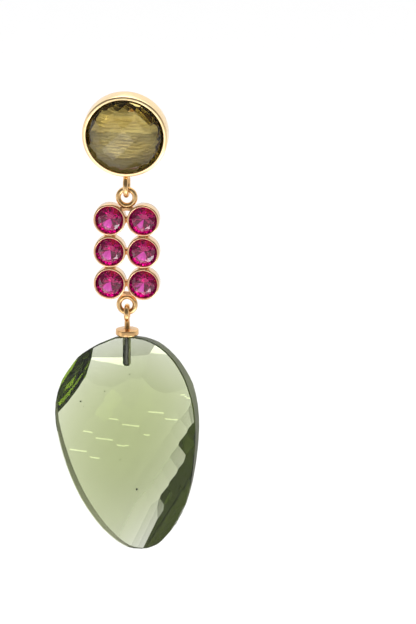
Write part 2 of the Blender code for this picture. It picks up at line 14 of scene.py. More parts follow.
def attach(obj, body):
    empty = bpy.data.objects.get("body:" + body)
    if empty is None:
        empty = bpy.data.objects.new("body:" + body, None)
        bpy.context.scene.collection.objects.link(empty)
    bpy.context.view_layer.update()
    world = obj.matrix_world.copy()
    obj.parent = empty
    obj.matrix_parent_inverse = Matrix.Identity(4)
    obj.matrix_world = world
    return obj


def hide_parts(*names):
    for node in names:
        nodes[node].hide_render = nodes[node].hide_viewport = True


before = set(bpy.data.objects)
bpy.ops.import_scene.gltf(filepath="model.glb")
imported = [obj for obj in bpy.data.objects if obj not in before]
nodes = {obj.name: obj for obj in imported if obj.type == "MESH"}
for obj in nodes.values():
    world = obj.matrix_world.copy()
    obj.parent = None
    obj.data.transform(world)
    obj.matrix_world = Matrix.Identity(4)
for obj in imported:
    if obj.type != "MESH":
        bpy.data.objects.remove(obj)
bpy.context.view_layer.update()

# %% [markdown]
# ## Camera
# A jewellery photograph is taken with a long lens from a little above and a little to one side,
# so that round settings show as ellipses that are nearly circles. A long lens could also be
# imitated with an orthographic camera, but then no stone would show its own parallax.
# The earring hangs left of the picture's middle, at ORIGIN_PIXEL.

# %% Camera
PICTURE_WIDTH, PICTURE_HEIGHT = 416, 624
METRES_PER_PIXEL = 0.00012
ORIGIN_PIXEL = (126.5, 131.0)
CAMERA_TURN, CAMERA_RISE, CAMERA_DISTANCE = math.radians(6), math.radians(15), 0.6

to_right = Vector((math.cos(CAMERA_TURN), math.sin(CAMERA_TURN), 0))
to_camera = Vector((math.sin(CAMERA_TURN) * math.cos(CAMERA_RISE),
                    -math.cos(CAMERA_TURN) * math.cos(CAMERA_RISE), math.sin(CAMERA_RISE)))
to_top = to_camera.cross(to_right)
aim = (to_right * (PICTURE_WIDTH / 2 - ORIGIN_PIXEL[0])
       - to_top * (PICTURE_HEIGHT / 2 - ORIGIN_PIXEL[1])) * METRES_PER_PIXEL
lens = bpy.data.cameras.new("portrait_lens")
lens.sensor_width = 36
lens.lens = 18 * CAMERA_DISTANCE / (PICTURE_HEIGHT / 2 * METRES_PER_PIXEL)
camera = bpy.data.objects.new("portrait_camera", lens)
bpy.context.collection.objects.link(camera)
camera.location = aim + to_camera * CAMERA_DISTANCE
camera.rotation_euler = (math.pi / 2 - CAMERA_RISE, 0, CAMERA_TURN)
bpy.context.scene.camera = camera
print("lens:", round(lens.lens, 1), "mm")

# %% [markdown]
# ## Helpers for the bench
# Blender's operators act on whatever is selected, so each step first clears the selection.
# A finished piece has its modifiers applied, its doubles merged, its faces turned outwards and
# its place written into its mesh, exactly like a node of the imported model.

# %% Small helpers
def mm(value):
    return value / 1000


def deselect_all():
    if bpy.context.object and bpy.context.object.mode == "EDIT":
        bpy.ops.object.mode_set(mode="OBJECT")
    bpy.ops.object.select_all(action="DESELECT")


def pick(piece):
    deselect_all()
    piece.select_set(True)
    bpy.context.view_layer.objects.active = piece


def place(piece, matrix):
    """Put a piece somewhere and write that place into its mesh."""
    pick(piece)
    piece.matrix_world = matrix @ piece.matrix_world
    bpy.ops.object.transform_apply(location=True, rotation=True, scale=True)

# %% Finish a piece
def settle(piece, body, finish, smooth=35, replaces=()):
    """Clean a piece, give it its finish and hang it on its body."""
    pick(piece)
    for modifier in list(piece.modifiers):
        bpy.ops.object.modifier_apply(modifier=modifier.name)
    bpy.ops.object.transform_apply(location=True, rotation=True, scale=True)
    bpy.ops.object.mode_set(mode="EDIT")
    bpy.ops.mesh.select_all(action="SELECT")
    bpy.ops.mesh.remove_doubles(threshold=mm(0.0005))
    bpy.ops.mesh.normals_make_consistent(inside=False)
    bpy.ops.object.mode_set(mode="OBJECT")
    bpy.ops.object.shade_smooth_by_angle(angle=math.radians(smooth))
    piece.data.materials.clear()
    piece.data.materials.append(finish)
    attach(piece, body)
    if replaces:
        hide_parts(*replaces)
    print(f"{piece.name}: {len(piece.data.polygons)} faces")

# %% [markdown]
# ## Shared effects
# Gold plate and cut stone share a few small flaws. Hand polishing leaves faint swirls and a
# surface that is not quite even, plating drifts between yellow and rose and is rubbed brighter
# at its corners, and a stone's edge stays matt. Each effect is a node group with named sockets,
# so every finish can use it with its own values.
# An image texture could do it too, but noise on Object coordinates needs no unwrapping.

# %% Start a node group
def new_group(name, inputs, outputs):
    group = bpy.data.node_groups.new(name, "ShaderNodeTree")
    for label, kind, value in inputs:
        socket = group.interface.new_socket(label, in_out="INPUT", socket_type=kind)
        socket.default_value = value
    for label, kind in outputs:
        group.interface.new_socket(label, in_out="OUTPUT", socket_type=kind)
    enter = group.nodes.new("NodeGroupInput")
    leave = group.nodes.new("NodeGroupOutput")
    return group, enter, leave


def add(tree, kind, **settings):
    node = tree.nodes.new(kind)
    for key, value in settings.items():
        setattr(node, key, value)
    return node


def noise(tree, where, scale, detail=2.0, roughness=0.5):
    """A noise whose scale may be a number or another node's socket."""
    node = add(tree, "ShaderNodeTexNoise")
    tree.links.new(where, node.inputs["Vector"])
    if isinstance(scale, (int, float)):
        node.inputs["Scale"].default_value = scale
    else:
        tree.links.new(scale, node.inputs["Scale"])
    node.inputs["Detail"].default_value = detail
    node.inputs["Roughness"].default_value = roughness
    return node.outputs["Fac"]


def remap(tree, value, low, high, to_low, to_high):
    """Map a value from one range to another; range ends may be numbers or sockets."""
    node = add(tree, "ShaderNodeMapRange")
    tree.links.new(value, node.inputs["Value"])
    ends = {"From Min": low, "From Max": high, "To Min": to_low, "To Max": to_high}
    for label, end in ends.items():
        if isinstance(end, (int, float)):
            node.inputs[label].default_value = end
        else:
            tree.links.new(end, node.inputs[label])
    return node.outputs["Result"]

# %% Hand polish: swirls in the gloss and a surface that is not quite even
NOISE_SPREAD = (0.35, 0.65)  # noise beyond these two counts as the end of a range
GRAIN_SCALE, GRAIN_SHARE = 9000.0, 0.06
hand_polish, enter, leave = new_group(
    "hand_polish",
    (("Smoothest", "NodeSocketFloat", 0.1), ("Roughest", "NodeSocketFloat", 0.3),
     ("Swirl Scale", "NodeSocketFloat", 900.0), ("Wave Scale", "NodeSocketFloat", 700.0)),
    (("Roughness", "NodeSocketFloat"), ("Height", "NodeSocketFloat")))
where = add(hand_polish, "ShaderNodeTexCoord").outputs["Object"]
swirl = noise(hand_polish, where, enter.outputs["Swirl Scale"], 6.0, 0.7)
gloss = remap(hand_polish, swirl, *NOISE_SPREAD, enter.outputs["Smoothest"],
              enter.outputs["Roughest"])
hand_polish.links.new(gloss, leave.inputs["Roughness"])
wave = noise(hand_polish, where, enter.outputs["Wave Scale"], 1.0)
grain = noise(hand_polish, where, GRAIN_SCALE, 2.0)
both = add(hand_polish, "ShaderNodeMath", operation="MULTIPLY_ADD")
hand_polish.links.new(grain, both.inputs[0])
both.inputs[1].default_value = GRAIN_SHARE
hand_polish.links.new(wave, both.inputs[2])
hand_polish.links.new(both.outputs[0], leave.inputs["Height"])
print("group:", hand_polish.name)

# %% Plate drift: gold plate that turns from yellow to rose
plate_drift, enter, leave = new_group(
    "plate_drift",
    (("Yellow", "NodeSocketColor", (0.9, 0.6, 0.28, 1)),
     ("Rose", "NodeSocketColor", (0.85, 0.45, 0.2, 1)),
     ("Patch Scale", "NodeSocketFloat", 350.0), ("Rose Share", "NodeSocketFloat", 0.5)),
    (("Color", "NodeSocketColor"),))
where = add(plate_drift, "ShaderNodeTexCoord").outputs["Object"]
patches = noise(plate_drift, where, enter.outputs["Patch Scale"], 3.0)
share = remap(plate_drift, patches, *NOISE_SPREAD, 0.0, enter.outputs["Rose Share"])
mix = add(plate_drift, "ShaderNodeMix", data_type="RGBA")
plate_drift.links.new(share, mix.inputs["Factor"])
plate_drift.links.new(enter.outputs["Yellow"], mix.inputs[6])
plate_drift.links.new(enter.outputs["Rose"], mix.inputs[7])
plate_drift.links.new(mix.outputs[2], leave.inputs["Color"])
print("group:", plate_drift.name)

# %% Rubbed edges: corners wear brighter, hollows keep a little darker film
CORNERS, HOLLOWS = (0.51, 0.56), (0.49, 0.44)  # Pointiness is 0.5 where a surface is flat
rubbed_edges, enter, leave = new_group(
    "rubbed_edges",
    (("Color", "NodeSocketColor", (1, 1, 1, 1)),
     ("Worn Color", "NodeSocketColor", (1, 0.8, 0.5, 1)),
     ("Film Color", "NodeSocketColor", (0.4, 0.2, 0.08, 1)), ("Wear", "NodeSocketFloat", 0.5),
     ("Film", "NodeSocketFloat", 0.5)),
    (("Color", "NodeSocketColor"),))
bend = add(rubbed_edges, "ShaderNodeNewGeometry").outputs["Pointiness"]
worn = remap(rubbed_edges, bend, *CORNERS, 0.0, enter.outputs["Wear"])
film = remap(rubbed_edges, bend, *HOLLOWS, 0.0, enter.outputs["Film"])
over = add(rubbed_edges, "ShaderNodeMix", data_type="RGBA")
rubbed_edges.links.new(worn, over.inputs["Factor"])
rubbed_edges.links.new(enter.outputs["Color"], over.inputs[6])
rubbed_edges.links.new(enter.outputs["Worn Color"], over.inputs[7])
under = add(rubbed_edges, "ShaderNodeMix", data_type="RGBA")
rubbed_edges.links.new(film, under.inputs["Factor"])
rubbed_edges.links.new(over.outputs[2], under.inputs[6])
rubbed_edges.links.new(enter.outputs["Film Color"], under.inputs[7])
rubbed_edges.links.new(under.outputs[2], leave.inputs["Color"])
print("group:", rubbed_edges.name)

# %% Ground edge: a stone's girdle is left matt, as it comes from the wheel
GIRDLE = (0.24, 0.28)  # how far a face may look to the front or back and still be the edge
ground_edge, enter, leave = new_group(
    "ground_edge",
    (("Polished", "NodeSocketFloat", 0.01), ("Ground", "NodeSocketFloat", 0.6),
     ("Face Direction", "NodeSocketVector", (0, 1, 0))),
    (("Roughness", "NodeSocketFloat"), ("Edge", "NodeSocketFloat")))
facing = add(ground_edge, "ShaderNodeVectorMath", operation="DOT_PRODUCT")
ground_edge.links.new(add(ground_edge, "ShaderNodeTexCoord").outputs["Normal"], facing.inputs[0])
ground_edge.links.new(enter.outputs["Face Direction"], facing.inputs[1])
sideways = add(ground_edge, "ShaderNodeMath", operation="ABSOLUTE")
ground_edge.links.new(facing.outputs["Value"], sideways.inputs[0])
edge = remap(ground_edge, sideways.outputs[0], *GIRDLE, 1.0, 0.0)
ground_edge.links.new(edge, leave.inputs["Edge"])
ground_edge.links.new(remap(ground_edge, edge, 0.0, 1.0, enter.outputs["Polished"],
                            enter.outputs["Ground"]), leave.inputs["Roughness"])
print("group:", ground_edge.name)

# %% [markdown]
# ## Gold plate
# The metal is silver plated with yellow gold over a rose base, polished by hand. A metal has no
# colour of its own apart from its reflections, so Metallic is 1 and the colour tints them. One
# finish could serve all of it, but the cup is the yellowest, the rings and the peg are deeper,
# and solder is duller and a little redder.

# %% Use a group in a finish
def use(material, group, **values):
    tree = material.node_tree
    node = add(tree, "ShaderNodeGroup", node_tree=group)
    for label, value in values.items():
        socket = node.inputs[label.replace("_", " ")]
        if isinstance(value, bpy.types.NodeSocket):
            tree.links.new(value, socket)
        else:
            socket.default_value = value
    return node


def new_finish(name):
    material = bpy.data.materials.new(name)
    material.use_nodes = True
    return material, material.node_tree, material.node_tree.nodes["Principled BSDF"]


def bumpy(tree, shader, height, strength, distance):
    bump = add(tree, "ShaderNodeBump")
    bump.inputs["Strength"].default_value = strength
    bump.inputs["Distance"].default_value = mm(distance)
    tree.links.new(height, bump.inputs["Height"])
    tree.links.new(bump.outputs["Normal"], shader.inputs["Normal"])

# %% Gold finishes
def gold_finish(name, yellow, rose, smoothest, roughest, wave_scale, unevenness):
    material, tree, shader = new_finish(name)
    shader.inputs["Metallic"].default_value = 1.0
    drift = use(material, plate_drift, Yellow=(*yellow, 1), Rose=(*rose, 1), Rose_Share=0.7)
    edges = use(material, rubbed_edges, Color=drift.outputs["Color"], Wear=0.35, Film=0.5,
                Worn_Color=(1.0, 0.80, 0.50, 1), Film_Color=(0.42, 0.20, 0.08, 1))
    tree.links.new(edges.outputs["Color"], shader.inputs["Base Color"])
    polish = use(material, hand_polish, Smoothest=smoothest, Roughest=roughest,
                 Wave_Scale=wave_scale)
    tree.links.new(polish.outputs["Roughness"], shader.inputs["Roughness"])
    bumpy(tree, shader, polish.outputs["Height"], 1.0, unevenness)
    return material


gold_bezel = gold_finish("gold_bezel", yellow=(0.98, 0.76, 0.42), rose=(0.95, 0.66, 0.36),
                         smoothest=0.14, roughest=0.26, wave_scale=500.0, unevenness=0.05)
gold_plate = gold_finish("gold_plate", yellow=(0.86, 0.60, 0.33), rose=(0.76, 0.42, 0.23),
                         smoothest=0.12, roughest=0.28, wave_scale=900.0, unevenness=0.05)
gold_wire = gold_finish("gold_wire", yellow=(0.80, 0.50, 0.21), rose=(0.66, 0.34, 0.12),
                        smoothest=0.16, roughest=0.32, wave_scale=900.0, unevenness=0.05)
gold_solder = gold_finish("gold_solder", yellow=(0.80, 0.50, 0.25), rose=(0.68, 0.34, 0.17),
                          smoothest=0.22, roughest=0.42, wave_scale=2600.0, unevenness=0.08)
print("gold:", gold_bezel.name, gold_plate.name, gold_wire.name, gold_solder.name)

# %% [markdown]
# ## Cut stones
# A transparent stone is three things: a hard surface that reflects a little and bends light by
# its index of refraction, flat facets that throw the light about inside, and a body that soaks
# up some colours on the way. Tinting the surface would colour thin and thick places alike, so
# the body is a Volume Absorption instead, and thick places go deeper in colour by themselves.
# Only the matt edge has a surface that is a little yellow.

# %% Stone finishes
GROUND_FILM = (1.0, 0.94, 0.66)


def stone_finish(name, index, body, density, face, ground=0.6, shine=0.5):
    """A clear finish; face points from front to back, ground is the roughness of the edge."""
    material, tree, shader = new_finish(name)
    shader.inputs["IOR"].default_value = index
    shader.inputs["Specular IOR Level"].default_value = shine
    shader.inputs["Transmission Weight"].default_value = 1.0
    polish = use(material, hand_polish, Smoothest=0.0, Roughest=0.012, Swirl_Scale=1500.0,
                 Wave_Scale=450.0)
    edge = use(material, ground_edge, Polished=polish.outputs["Roughness"], Ground=ground,
               Face_Direction=face)
    tree.links.new(edge.outputs["Roughness"], shader.inputs["Roughness"])
    film = add(tree, "ShaderNodeMix", data_type="RGBA")
    tree.links.new(edge.outputs["Edge"], film.inputs["Factor"])
    film.inputs[6].default_value = (1, 1, 1, 1)
    film.inputs[7].default_value = (*GROUND_FILM, 1)
    tree.links.new(film.outputs[2], shader.inputs["Base Color"])
    bumpy(tree, shader, polish.outputs["Height"], 0.5, 0.002)
    absorb = add(tree, "ShaderNodeVolumeAbsorption")
    absorb.inputs["Color"].default_value = (*body, 1)
    absorb.inputs["Density"].default_value = density
    tree.links.new(absorb.outputs[0], tree.nodes["Material Output"].inputs["Volume"])
    return material


# %% The three stones
QUARTZ_INDEX, FUCHSIA_INDEX = 1.54, 1.76
DROP_TURN, DROP_LEAN, STUD_DROOP = math.radians(-4), math.radians(-6.6), math.radians(8)
BACKWARDS = Vector((0, 1, 0))
drop_face = Matrix.Rotation(DROP_TURN, 3, "Z") @ Matrix.Rotation(DROP_LEAN, 3, "X") @ BACKWARDS
stud_face = Matrix.Rotation(STUD_DROOP, 3, "X") @ BACKWARDS
sage_quartz = stone_finish("sage_quartz", QUARTZ_INDEX, body=(0.475, 0.55, 0.125),
                           density=277.0, face=drop_face)
olive_quartz = stone_finish("olive_quartz", QUARTZ_INDEX, body=(0.72, 0.60, 0.02),
                            density=165.0, face=stud_face, shine=0.3)
fuchsia_stone = stone_finish("fuchsia_stone", FUCHSIA_INDEX, body=(0.935, 0.0, 0.76),
                             density=1750.0, face=BACKWARDS, ground=0.3, shine=0.2)

for name, node in nodes.items():
    finish = gold_plate
    if name == "drop_stone":
        finish = sage_quartz
    elif name == "stud_stone":
        finish = olive_quartz
    elif name.startswith("panel_stone"):
        finish = fuchsia_stone
    node.data.materials.clear()
    node.data.materials.append(finish)
print("stones:", sage_quartz.name, olive_quartz.name, fuchsia_stone.name)

# %% [markdown]
# ## The stud's cup
# A bezel cup is a round dish whose wall is rolled over the stone's edge. It is symmetrical about
# one axis, so it is built as on a lathe: a disc is extruded and scaled again and again, up the
# outside, over the lip and down the inside. Spinning a drawn outline would do as well, but this
# way each step can be read in millimetres.

# %% Turn a shape
def turned(name, profile, sides, hollow=False):
    """Extrude a disc, or a bare ring for a tube, through (radius, height) pairs in mm."""
    deselect_all()
    (radius, height), rest = profile[0], list(profile[1:])
    bpy.ops.mesh.primitive_circle_add(vertices=sides, radius=mm(radius),
                                      location=(0, 0, mm(height)),
                                      fill_type="NOTHING" if hollow else "NGON")
    piece = bpy.context.object
    piece.name = name
    bpy.ops.object.mode_set(mode="EDIT")
    for next_radius, next_height in rest + ([profile[0]] if hollow else []):
        bpy.ops.mesh.extrude_region_move(
            TRANSFORM_OT_translate={"value": (0, 0, mm(next_height - height))})
        bpy.ops.transform.resize(value=(next_radius / radius, next_radius / radius, 1),
                                 center_override=(0, 0, mm(next_height)))
        radius, height = next_radius, next_height
    bpy.ops.object.mode_set(mode="OBJECT")
    return piece


def arc(radius, height, size, start, end, steps=6):
    """Points of a rounded corner in a profile; angles in degrees from outwards to upwards."""
    turns = [math.radians(start + (end - start) * k / steps) for k in range(steps + 1)]
    return [(radius + size * math.cos(t), height + size * math.sin(t)) for t in turns]

# %% Stud cup and post
stud_place = Matrix.Rotation(math.pi / 2 + STUD_DROOP, 4, "X")

cup_profile = ([(4.0, 0.0)] + arc(4.90, 0.25, 0.25, -90, 0) + arc(4.91, 1.86, 0.24, 0, 90)
               + [(4.80, 2.10)] + arc(4.78, 2.00, 0.10, 90, 180, 4)
               + arc(4.83, 1.80, 0.02, 90, 0, 2) + [(4.85, 0.70)]
               + arc(4.60, 0.70, 0.25, 0, -90, 4) + [(0.5, 0.45)])
stud_cup = turned("stud_cup", cup_profile, 96)
place(stud_cup, stud_place)
settle(stud_cup, "stud", gold_bezel, replaces=("stud_setting",))

post_profile = ([(0.58, 0.02), (0.50, -0.03), (0.43, -0.10), (0.40, -0.20), (0.40, -8.80)]
                + [(0.36, -9.02), (0.33, -9.20), (0.36, -9.38), (0.40, -9.60), (0.40, -10.95)]
                + arc(0.20, -11.0, 0.20, 0, -80, 5))
stud_post = turned("stud_post", post_profile, 32)
place(stud_post, stud_place)
settle(stud_post, "stud", gold_plate)

# %% [markdown]
# ## Foil behind the stud's stone
# A stone in a closed cup would look dead, so a sheet of crinkled gold foil lies under it and
# throws the light back. It is a fine grid, cut round, pushed into shallow ripples that run
# across, and given a thickness. Bump on a flat disc could stand for the ripples, but ripples
# in the mesh also change what is seen at a slant. Bands of painted light and shade lie across
# the foil: one band is painted lighter as a painted highlight, and the strips above and below
# it are painted darker as painted shade, so its colour is shaded by height.

# %% The foil's finish
foil_finish, tree, shader = new_finish("olive_foil")
shader.inputs["Metallic"].default_value = 0.5
where = add(tree, "ShaderNodeTexCoord").outputs["Object"]
stretch = add(tree, "ShaderNodeMapping")
stretch.inputs["Scale"].default_value = (250.0, 900.0, 900.0)
tree.links.new(where, stretch.inputs["Vector"])
crinkle = noise(tree, stretch.outputs[0], 1.0, 3.0, 0.6)
tint = add(tree, "ShaderNodeMix", data_type="RGBA")
tree.links.new(remap(tree, crinkle, *NOISE_SPREAD, 0.0, 1.0), tint.inputs["Factor"])
tint.inputs[6].default_value = (0.75, 0.60, 0.22, 1)
tint.inputs[7].default_value = (1.0, 0.88, 0.42, 1)
print("finish:", foil_finish.name)

# %% Painted light and shade across the foil, as (height in mm, brightness)
PAINTED_LIGHT_BANDS = ((-4.5, 1.0), (-1.2, 1.0), (-0.8, 0.65), (0.05, 0.50),
         (0.15, 1.0), (1.9, 1.0), (2.05, 0.60), (4.5, 0.65))
lowest, highest = PAINTED_LIGHT_BANDS[0][0], PAINTED_LIGHT_BANDS[-1][0]
height = add(tree, "ShaderNodeSeparateXYZ")
tree.links.new(where, height.inputs[0])
# A ramp up the foil's height gives the bands of painted highlight and painted shade.
painted_bands = add(tree, "ShaderNodeValToRGB")
up_the_foil = remap(tree, height.outputs["Z"], mm(lowest), mm(highest), 0.0, 1.0)
tree.links.new(up_the_foil, painted_bands.inputs[0])
for number, (at, shade) in enumerate(PAINTED_LIGHT_BANDS):
    position = (at - lowest) / (highest - lowest)
    if number > 1:
        painted_bands.color_ramp.elements.new(position)
    stop = painted_bands.color_ramp.elements[number]
    stop.position, stop.color = position, (shade, shade, shade, 1)
# The foil's colour is multiplied by the bands of painted highlight and painted shade.
painted_shading = add(tree, "ShaderNodeMix", data_type="RGBA", blend_type="MULTIPLY")
painted_shading.inputs["Factor"].default_value = 1.0
tree.links.new(tint.outputs[2], painted_shading.inputs[6])
tree.links.new(painted_bands.outputs[0], painted_shading.inputs[7])
tree.links.new(painted_shading.outputs[2], shader.inputs["Base Color"])
polish = use(foil_finish, hand_polish, Smoothest=0.3, Roughest=0.5, Swirl_Scale=2000.0)
tree.links.new(polish.outputs["Roughness"], shader.inputs["Roughness"])
bumpy(tree, shader, crinkle, 0.8, 0.25)
print("folds:", len(PAINTED_LIGHT_BANDS))

# %% Crinkled foil
FOIL_RADIUS, FOIL_HEIGHT, FOIL_THICK, RIPPLE = 4.35, 0.497, 0.012, 0.016
deselect_all()
bpy.ops.mesh.primitive_grid_add(x_subdivisions=30, y_subdivisions=110, size=mm(2 * FOIL_RADIUS),
                                location=(0, 0, mm(FOIL_HEIGHT)))
foil = bpy.context.object
foil.name = "stud_foil"
bpy.ops.object.mode_set(mode="EDIT")
bpy.ops.mesh.select_all(action="DESELECT")
bpy.ops.object.mode_set(mode="OBJECT")
for vert in foil.data.vertices:
    vert.select = math.hypot(vert.co.x, vert.co.y) > mm(FOIL_RADIUS)
bpy.ops.object.mode_set(mode="EDIT")
bpy.ops.mesh.select_mode(type="VERT")
bpy.ops.mesh.delete(type="VERT")
bpy.ops.object.mode_set(mode="OBJECT")
for vert in foil.data.vertices:
    x, y = vert.co.x * 1000, vert.co.y * 1000
    wander = 0.8 * math.sin(1.3 * x) + 0.5 * math.sin(2.9 * x + y)
    vert.co.z += mm(RIPPLE * math.sin(15 * y + wander))
wall = foil.modifiers.new("thickness", "SOLIDIFY")
wall.thickness, wall.offset = mm(FOIL_THICK), 0.0
place(foil, stud_place)
settle(foil, "stud", foil_finish, smooth=60)

# %% [markdown]
# ## Rings of wire
# Each link is a piece of round wire bent into a ring. A curve with a round bevel would do, but
# a torus is that shape already. Real links are worn a little flat inside, where they hang on
# each other, and the flat is made by moving a few points of the torus.

# %% Bend a ring
WIRE, WORN_WIRE, WORN_SHARE = 0.32, 0.24, 0.8


def ring(name, centre, radius, upright_in, wear_up):
    """A wire ring; wear_up is 1 where it bears on its top, -1 where on its bottom."""
    deselect_all()
    turn = (math.pi / 2, 0, 0) if upright_in == "XZ" else (0, math.pi / 2, 0)
    bpy.ops.mesh.primitive_torus_add(major_radius=mm(radius), minor_radius=mm(WIRE),
                                     major_segments=72, minor_segments=20, rotation=turn)
    piece = bpy.context.object
    piece.name = name
    bpy.ops.object.transform_apply(location=True, rotation=True, scale=True)
    for vert in piece.data.vertices:
        inside = mm(radius) - Vector((vert.co.x, vert.co.y, vert.co.z)).length
        bears = wear_up * vert.co.z / mm(radius)
        if bears > WORN_SHARE and inside > mm(WORN_WIRE):
            vert.co.z += wear_up * (inside - mm(WORN_WIRE))
    place(piece, Matrix.Translation(Vector(centre) / 1000))
    return piece

# %% The four rings
LINE_Y = -0.1254
STUD_RING_Z, TOP_RING_Z, LOW_RING_Z, EYE_Z = -6.652, -8.142, -21.492, -22.522
STUD_RING_RADIUS, TOP_RING_RADIUS, LOW_RING_RADIUS, EYE_RADIUS = 1.22, 1.01, 0.98, 0.79
stud_ring = ring("stud_ring", (0, LINE_Y, STUD_RING_Z), STUD_RING_RADIUS, "YZ", -1)
settle(stud_ring, "stud", gold_wire, smooth=60)
panel_top_ring = ring("panel_top_ring", (0, LINE_Y, TOP_RING_Z), TOP_RING_RADIUS, "XZ", 1)
settle(panel_top_ring, "panel", gold_wire, smooth=60, replaces=("panel_setting",))
panel_low_ring = ring("panel_low_ring", (0, LINE_Y, LOW_RING_Z), LOW_RING_RADIUS, "XZ", -1)
settle(panel_low_ring, "panel", gold_wire, smooth=60)
peg_eye = ring("peg_eye", (0, LINE_Y, EYE_Z), EYE_RADIUS, "YZ", 1)
settle(peg_eye, "drop", gold_wire, smooth=60, replaces=("drop_peg",))

# %% [markdown]
# ## Tube settings
# The six small stones sit in slices of tube with a ledge inside, and the tube's rim is pushed
# over each stone. One slice is modelled and copied to the other five places. An Array
# modifier could set them out too, but it would make one object of all six.

# %% One tube setting and its copies
COLUMNS_X = (-2.04, 2.04)
ROWS_Z = (-10.872, -14.832, -18.792)
TUBE_BACK = 0.6246
tube_profile = (arc(1.90, 0.05, 0.05, -90, 0, 3) + arc(1.80, 1.35, 0.15, 0, 90)
                + arc(1.78, 1.42, 0.08, 90, 180, 4) + arc(1.78, 1.22, 0.02, 90, 0, 2)
                + [(1.80, 0.92), (1.62, 0.85)] + arc(1.67, 0.05, 0.05, 180, 270, 3))
pattern = turned("tube_setting_1", tube_profile, 64, hollow=True)
tubes = [pattern]
for number in range(2, 7):
    pick(pattern)
    bpy.ops.object.duplicate()
    tubes.append(bpy.context.object)
    tubes[-1].name = f"tube_setting_{number}"
face_front = Matrix.Rotation(math.pi / 2, 4, "X")
for number, tube in enumerate(tubes):
    x, z = COLUMNS_X[number % 2], ROWS_Z[number // 2]
    place(tube, Matrix.Translation((mm(x), mm(TUBE_BACK), mm(z))) @ face_front)
    settle(tube, "panel", gold_plate)

# %% [markdown]
# ## Solder
# Molten solder runs into the corner between two round pieces and sets with a hollow surface.
# A small block, pinched in the middle and smoothed by a subdivision surface, looks just so.
# Metaballs flow together in the same way, but a block has a size that can be given.

# %% A pinched bridge of solder
def solder(name, centre, size, across, pinch=0.62):
    """A block of (x, y, z) size in mm, pinched half way along the axis named by across."""
    deselect_all()
    bpy.ops.mesh.primitive_cube_add(size=1, location=Vector(centre) / 1000)
    piece = bpy.context.object
    piece.name = name
    piece.scale = Vector(size) / 1000
    bpy.ops.object.transform_apply(location=True, rotation=True, scale=True)
    bpy.ops.object.mode_set(mode="EDIT")
    bpy.ops.mesh.select_all(action="SELECT")
    bpy.ops.mesh.subdivide(number_cuts=3)
    bpy.ops.mesh.select_all(action="DESELECT")
    bpy.ops.object.mode_set(mode="OBJECT")
    middle = Vector(centre)[across] / 1000
    for vert in piece.data.vertices:
        vert.select = abs(vert.co[across] - middle) < mm(size[across]) * 0.1
    bpy.ops.object.mode_set(mode="EDIT")
    bpy.ops.transform.resize(value=(pinch, pinch, pinch), center_override=Vector(centre) / 1000)
    bpy.ops.object.mode_set(mode="OBJECT")
    curve = piece.modifiers.new("set_smooth", "SUBSURF")
    curve.levels = curve.render_levels = 2
    return piece

# %% Solder in every joint of the panel
ROW_BRIDGE, COLUMN_BRIDGE = (1.5, 1.1, 0.42), (0.5, 1.1, 0.95)
RING_BRIDGE, STUD_BRIDGE = (1.9, 0.9, 0.46), (0.75, 1.3, 0.5)
TOP_BAR_Z, LOW_BAR_Z, STUD_JOINT_Z, RING_PINCH = -9.55, -20.11, -5.28, 0.8
X_AXIS, Z_AXIS = 0, 2
joint = 0
for column in COLUMNS_X:
    for upper, lower in zip(ROWS_Z, ROWS_Z[1:]):
        joint += 1
        bridge = solder(f"row_solder_{joint}", (column, LINE_Y, (upper + lower) / 2),
                        ROW_BRIDGE, Z_AXIS)
        settle(bridge, "panel", gold_solder, smooth=60)
for row, z in enumerate(ROWS_Z, start=1):
    bridge = solder(f"column_solder_{row}", (0, LINE_Y, z), COLUMN_BRIDGE, X_AXIS)
    settle(bridge, "panel", gold_solder, smooth=60)
top_bar = solder("top_ring_solder", (0, LINE_Y, TOP_BAR_Z), RING_BRIDGE, X_AXIS, RING_PINCH)
settle(top_bar, "panel", gold_solder, smooth=60)
low_bar = solder("low_ring_solder", (0, LINE_Y, LOW_BAR_Z), RING_BRIDGE, X_AXIS, RING_PINCH)
settle(low_bar, "panel", gold_solder, smooth=60)
stud_joint = solder("stud_ring_solder", (0, LINE_Y + 0.1, STUD_JOINT_Z), STUD_BRIDGE, Z_AXIS,
                    RING_PINCH)
settle(stud_joint, "stud", gold_solder, smooth=60)

# %% [markdown]
# ## Peg
# The drop hangs from a peg: a round plate that sits on the stone, a short stem up to the eye,
# and a pin that is glued into a drilled hole. All of it is turned on one axis. Three
# cylinders could be joined instead, but one outline leaves no seams between them.

# %% Peg plate, stem and pin
STONE_TOP = -25.4222
peg_profile = ([(0.10, -3.65), (0.25, -3.60), (0.34, -3.50), (0.385, -3.35), (0.385, 0.10)]
               + arc(1.28, 0.27, 0.12, -90, 0, 4) + arc(1.28, 0.73, 0.12, 0, 90, 4)
               + [(0.60, 0.85), (0.42, 0.90), (0.34, 1.02), (0.32, 1.80), (0.30, 1.95)])
drop_peg = turned("peg_plate_and_pin", peg_profile, 48)
place(drop_peg, Matrix.Translation((0, mm(LINE_Y), mm(STONE_TOP))))
settle(drop_peg, "drop", gold_wire)

# %% [markdown]
# ## Glue in the drilled hole, painted dark as shade
# Seen through the stone, the pin shows as a dark rod. A thin sleeve with a round end, standing
# for the glue, lies just inside the hole over the pin; its dark grey-green colour is painted
# shade that keeps a highlight off the pin. A dark finish on the pin could do it too, but the
# pin and the plate above it are one piece of gold.

# %% Glue sleeve, its dark colour painted shade over the pin
glue_and_shade, tree, shader = new_finish("glue_and_painted_shade")
polish = use(glue_and_shade, hand_polish, Smoothest=0.45, Roughest=0.75, Swirl_Scale=2500.0)
